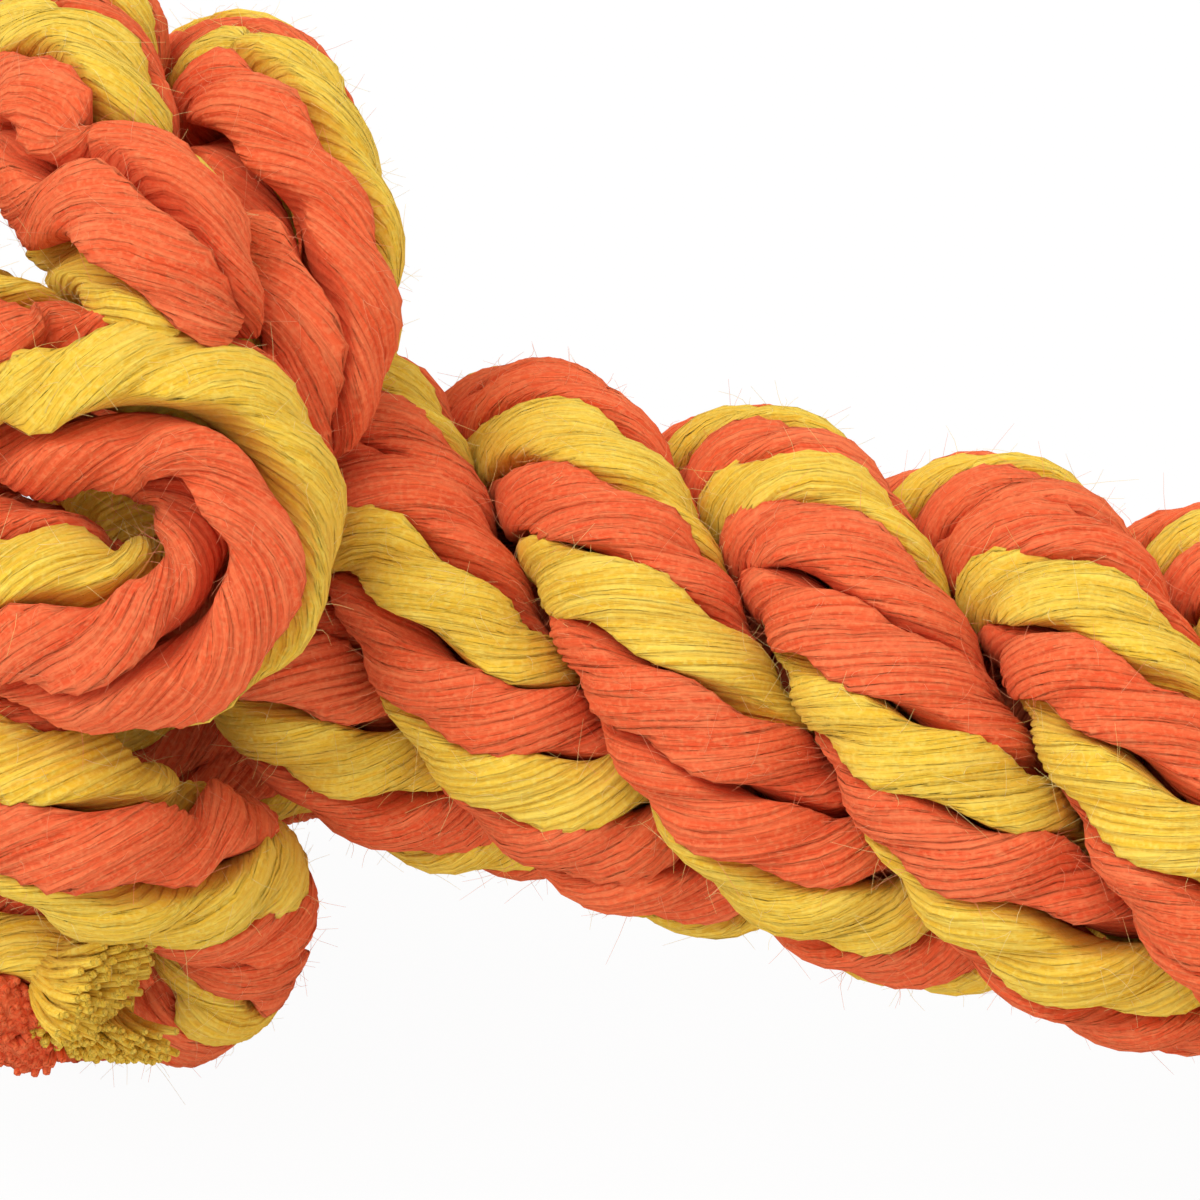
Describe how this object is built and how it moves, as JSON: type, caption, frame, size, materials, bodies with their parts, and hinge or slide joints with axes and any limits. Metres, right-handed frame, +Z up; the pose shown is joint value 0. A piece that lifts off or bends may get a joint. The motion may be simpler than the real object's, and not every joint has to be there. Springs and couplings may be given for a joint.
{
  "type": "rope dog toy",
  "caption": "Cotton rope tug toy: thick ropes laid into a twisted grip, ending in a large round knot at each end.",
  "frame": {"origin": "middle of the plane that both knots rest on, under the middle of the toy", "axes": "+X along the grip from the knot in the picture towards the other knot, +Z up, -Y towards the picture's side"},
  "size_m": [0.234, 0.0968, 0.0945],
  "materials": {
    "orange_cotton": "matt spun cotton",
    "yellow_cotton": "matt spun cotton"
  },
  "bodies": {
    "root": {"rope_1": "orange_cotton", "rope_2": "yellow_cotton", "rope_3": "orange_cotton", "rope_4": "yellow_cotton", "heart_rope": "yellow_cotton"}
  },
  "joints": []
}
